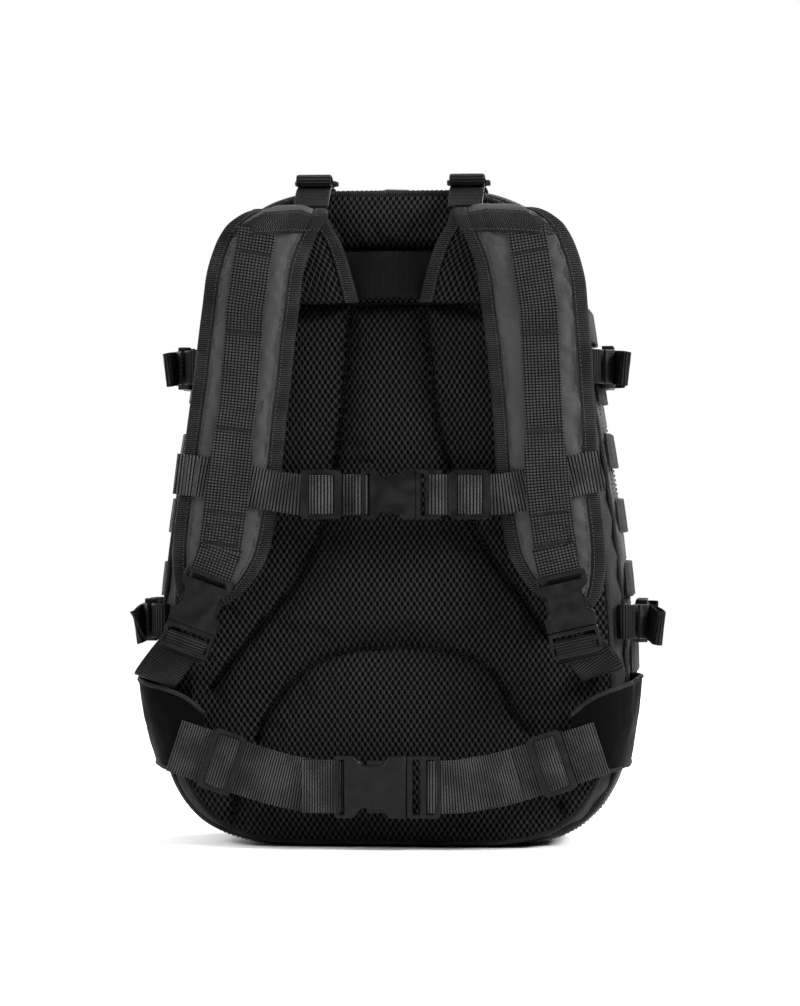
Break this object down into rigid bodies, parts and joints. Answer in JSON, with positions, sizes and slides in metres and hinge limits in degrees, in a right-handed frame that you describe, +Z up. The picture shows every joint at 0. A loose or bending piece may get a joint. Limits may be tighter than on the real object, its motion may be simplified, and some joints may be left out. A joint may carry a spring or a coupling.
{
  "type": "trauma backpack",
  "caption": "Zipped medical rucksack with padded mesh back, folding shoulder straps, sternum strap, waist belt and side compression straps.",
  "frame": {"origin": "middle of the base of the bounding box", "axes": "+Z up, -Y towards the wearer (the side with the shoulder straps), +X to the right when looking at that side"},
  "size_m": [0.379, 0.2568, 0.4788],
  "materials": {
    "nylon": "woven charcoal nylon, matte",
    "mesh": "black knitted spacer mesh",
    "webbing": "ribbed polyester webbing, slight sheen",
    "buckle": "fine-grained black acetal",
    "zip_metal": "satin black coated"
  },
  "bodies": {
    "pack": {"back_panel": "mesh", "main_shell": "nylon", "grab_handle": "webbing", "side_ladder_left": "webbing", "side_ladder_right": "webbing", "load_lifter_webbing_left": "webbing", "load_lifter_webbing_right": "webbing", "load_lifter_lock_left": "buckle", "load_lifter_lock_right": "buckle", "strap_wing_left": "mesh", "strap_wing_right": "mesh", "lower_webbing_left": "webbing", "lower_webbing_right": "webbing", "hip_wing_left": "nylon", "hip_wing_right": "nylon", "compression_socket_upper_left": "buckle", "compression_webbing_upper_left": "webbing", "compression_socket_upper_right": "buckle", "compression_webbing_upper_right": "webbing", "compression_socket_lower_left": "buckle", "compression_webbing_lower_left": "webbing", "compression_socket_lower_right": "buckle", "compression_webbing_lower_right": "webbing"},
    "left_strap": {"shoulder_strap_left": "nylon", "shoulder_webbing_left": "webbing", "shoulder_buckle_socket_left": "buckle"},
    "right_strap": {"shoulder_strap_right": "nylon", "shoulder_webbing_right": "webbing", "shoulder_buckle_socket_right": "buckle"},
    "left_strap_plug": {"shoulder_buckle_plug_left": "buckle"},
    "right_strap_plug": {"shoulder_buckle_plug_right": "buckle"},
    "sternum_strap": {"sternum_webbing_left": "webbing", "sternum_buckle_socket": "buckle"},
    "sternum_strap_right": {"sternum_webbing_right": "webbing", "sternum_buckle_plug": "buckle"},
    "sternum_slide_left": {"sternum_slide_left": "buckle"},
    "sternum_slide_right": {"sternum_slide_right": "buckle"},
    "waist_belt": {"waist_webbing_left": "webbing", "waist_buckle_socket": "buckle"},
    "waist_belt_right": {"waist_webbing_right": "webbing", "waist_buckle_plug": "buckle"},
    "waist_slide_left": {"waist_slide_left": "buckle"},
    "waist_slide_right": {"waist_slide_right": "buckle"},
    "front_section": {"front_section_shell": "nylon"},
    "front_panel": {"front_panel": "nylon", "lower_pouch_shell": "nylon", "upper_pouch_shell": "nylon"},
    "lower_pouch_lid": {"lower_pouch_lid": "nylon"},
    "upper_pouch_lid": {"upper_pouch_lid": "nylon"},
    "main_zip_slider_left": {"main_zip_slider_left": "zip_metal"},
    "main_zip_slider_right": {"main_zip_slider_right": "zip_metal"},
    "main_zip_pull_left": {"main_zip_pull_left": "webbing"},
    "main_zip_pull_right": {"main_zip_pull_right": "webbing"},
    "front_zip_slider": {"front_zip_slider": "zip_metal"},
    "lower_zip_slider": {"lower_zip_slider": "zip_metal"},
    "upper_zip_slider": {"upper_zip_slider": "zip_metal"},
    "compression_plug_upper_left": {"compression_plug_upper_left": "buckle"},
    "compression_plug_upper_right": {"compression_plug_upper_right": "buckle"},
    "compression_plug_lower_left": {"compression_plug_lower_left": "buckle"},
    "compression_plug_lower_right": {"compression_plug_lower_right": "buckle"}
  },
  "joints": [
    {"name": "left_strap_swing", "type": "hinge", "parent": "pack", "child": "left_strap", "pos_m": [0, -0.10509, 0.4564], "axis": [-1, 0, 0], "range_deg": [0, 25], "deforming": ["lower_webbing_left"]},
    {"name": "right_strap_swing", "type": "hinge", "parent": "pack", "child": "right_strap", "pos_m": [0, -0.10509, 0.4564], "axis": [-1, 0, 0], "range_deg": [0, 25], "deforming": ["lower_webbing_right"]},
    {"name": "left_strap_buckle_release", "type": "slide", "parent": "left_strap", "child": "left_strap_plug", "axis": [-0.342, 0, -0.9397], "range_m": [0, 0.024]},
    {"name": "right_strap_buckle_release", "type": "slide", "parent": "right_strap", "child": "right_strap_plug", "axis": [0.225, 0, -0.9744], "range_m": [0, 0.024]},
    {"name": "sternum_strap_height", "type": "slide", "parent": "left_strap", "child": "sternum_strap", "axis": [0, 0, 1], "range_m": [-0.025, 0.025]},
    {"name": "sternum_buckle_release", "type": "slide", "parent": "sternum_strap", "child": "sternum_strap_right", "axis": [1, 0, 0], "range_m": [0, 0.022]},
    {"name": "sternum_slide_left_adjust", "type": "slide", "parent": "sternum_strap", "child": "sternum_slide_left", "axis": [1, 0, 0], "range_m": [-0.01, 0.008]},
    {"name": "sternum_slide_right_adjust", "type": "slide", "parent": "sternum_strap_right", "child": "sternum_slide_right", "axis": [1, 0, 0], "range_m": [-0.005, 0]},
    {"name": "waist_belt_swing", "type": "hinge", "parent": "pack", "child": "waist_belt", "pos_m": [0, -0.0632, 0.12], "axis": [-1, 0, 0], "range_deg": [0, 30], "deforming": ["hip_wing_left", "hip_wing_right"]},
    {"name": "waist_buckle_release", "type": "slide", "parent": "waist_belt", "child": "waist_belt_right", "axis": [1, 0, 0], "range_m": [0, 0.03]},
    {"name": "waist_slide_left_adjust", "type": "slide", "parent": "waist_belt", "child": "waist_slide_left", "axis": [0.9503, 0, -0.3113], "range_m": [-0.008, 0.008]},
    {"name": "waist_slide_right_adjust", "type": "slide", "parent": "waist_belt_right", "child": "waist_slide_right", "axis": [0.9503, 0, 0.3113], "range_m": [-0.008, 0.008]},
    {"name": "main_compartment_open", "type": "hinge", "parent": "pack", "child": "front_section", "pos_m": [0, 0.049, 0.03], "axis": [-1, 0, 0], "range_deg": [0, 40]},
    {"name": "front_compartment_open", "type": "hinge", "parent": "front_section", "child": "front_panel", "pos_m": [0, 0.09441, 0.064], "axis": [-1, 0, 0], "range_deg": [0, 30]},
    {"name": "lower_pouch_open", "type": "hinge", "parent": "front_panel", "child": "lower_pouch_lid", "pos_m": [0, 0.12521, 0.1], "axis": [-1, 0, 0], "range_deg": [0, 20]},
    {"name": "upper_pouch_open", "type": "hinge", "parent": "front_panel", "child": "upper_pouch_lid", "pos_m": [0, 0.12021, 0.275], "axis": [-1, 0, 0], "range_deg": [0, 35]},
    {"name": "main_zip_left", "type": "slide", "parent": "front_section", "child": "main_zip_slider_left", "axis": [-0.1713, 0, -0.9852], "range_m": [0, 0.12]},
    {"name": "main_zip_right", "type": "slide", "parent": "front_section", "child": "main_zip_slider_right", "axis": [0.1713, 0, -0.9852], "range_m": [0, 0.12]},
    {"name": "main_zip_pull_left_swing", "type": "hinge", "parent": "main_zip_slider_left", "child": "main_zip_pull_left", "pos_m": [-0.1383, 0.05561, 0.363], "axis": [0, 1, 0], "range_deg": [0, 120]},
    {"name": "main_zip_pull_right_swing", "type": "hinge", "parent": "main_zip_slider_right", "child": "main_zip_pull_right", "pos_m": [0.1383, 0.05561, 0.363], "axis": [0, -1, 0], "range_deg": [0, 120]},
    {"name": "front_zip", "type": "slide", "parent": "front_section", "child": "front_zip_slider", "axis": [0.1836, 0, -0.983], "range_m": [0, 0.12]},
    {"name": "lower_pouch_zip", "type": "slide", "parent": "front_panel", "child": "lower_zip_slider", "axis": [-1, 0, 0], "range_m": [0, 0.14]},
    {"name": "upper_pouch_zip", "type": "slide", "parent": "front_panel", "child": "upper_zip_slider", "axis": [-1, 0, 0], "range_m": [0, 0.09]},
    {"name": "compression_upper_left_release", "type": "slide", "parent": "pack", "child": "compression_plug_upper_left", "axis": [0, 1, 0], "range_m": [0, 0.02]},
    {"name": "compression_upper_right_release", "type": "slide", "parent": "pack", "child": "compression_plug_upper_right", "axis": [0, 1, 0], "range_m": [0, 0.02]},
    {"name": "compression_lower_left_release", "type": "slide", "parent": "pack", "child": "compression_plug_lower_left", "axis": [0, 1, 0], "range_m": [0, 0.02]},
    {"name": "compression_lower_right_release", "type": "slide", "parent": "pack", "child": "compression_plug_lower_right", "axis": [0, 1, 0], "range_m": [0, 0.02]}
  ],
  "couplings": [
    {"joint": "right_strap_swing", "follows": "left_strap_swing", "ratio": 1}
  ]
}
